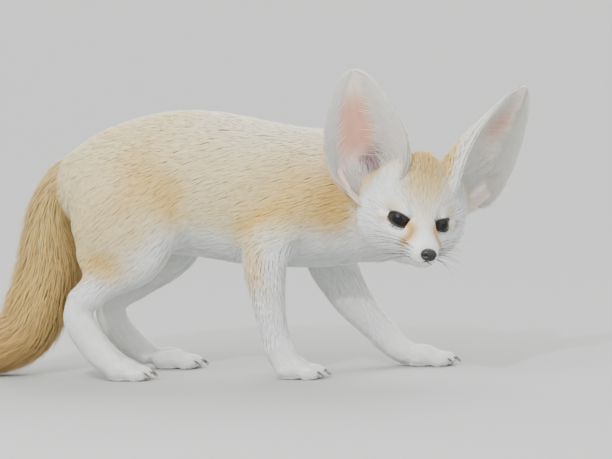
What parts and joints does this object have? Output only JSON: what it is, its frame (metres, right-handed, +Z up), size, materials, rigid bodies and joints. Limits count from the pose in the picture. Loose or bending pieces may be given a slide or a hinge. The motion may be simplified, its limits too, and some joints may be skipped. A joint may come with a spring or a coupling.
{
  "type": "fennec fox",
  "caption": "Still, life-size fennec fox in mid-step: body straight, head turned to its right, huge cupped ears, bushy tail that hangs and lies back on the floor.",
  "frame": {"origin": "on the floor, under the middle of the model's box", "axes": "+X the way the body faces, +Y the animal's left side, +Z up; the head is turned towards -Y"},
  "size_m": [0.5402, 0.1656, 0.2583],
  "materials": {
    "body_fur": "short dense cream-buff fur",
    "leg_fur": "short white fur",
    "face_fur": "very short white and pale orange fur",
    "tail_fur": "long bushy sandy-brown fur",
    "ear_skin": "thin pink skin with sparse white hairs",
    "nose_skin": "moist black skin",
    "eye": "wet, glossy, near black"
  },
  "bodies": {
    "root": {"head": "face_fur", "nose": "nose_skin", "eye_right": "eye", "eye_left": "eye", "ear_right": "ear_skin", "ear_left": "ear_skin", "neck": "body_fur", "torso": "body_fur", "foreleg_right": "leg_fur", "foreleg_left": "leg_fur", "forepaw_right": "leg_fur", "forepaw_left": "leg_fur", "thigh_right": "body_fur", "thigh_left": "body_fur", "shank_right": "leg_fur", "shank_left": "leg_fur", "hindpaw_right": "leg_fur", "hindpaw_left": "leg_fur", "tail_root": "tail_fur", "tail_upper": "tail_fur", "tail_bend": "tail_fur", "tail_end": "tail_fur"}
  },
  "joints": []
}
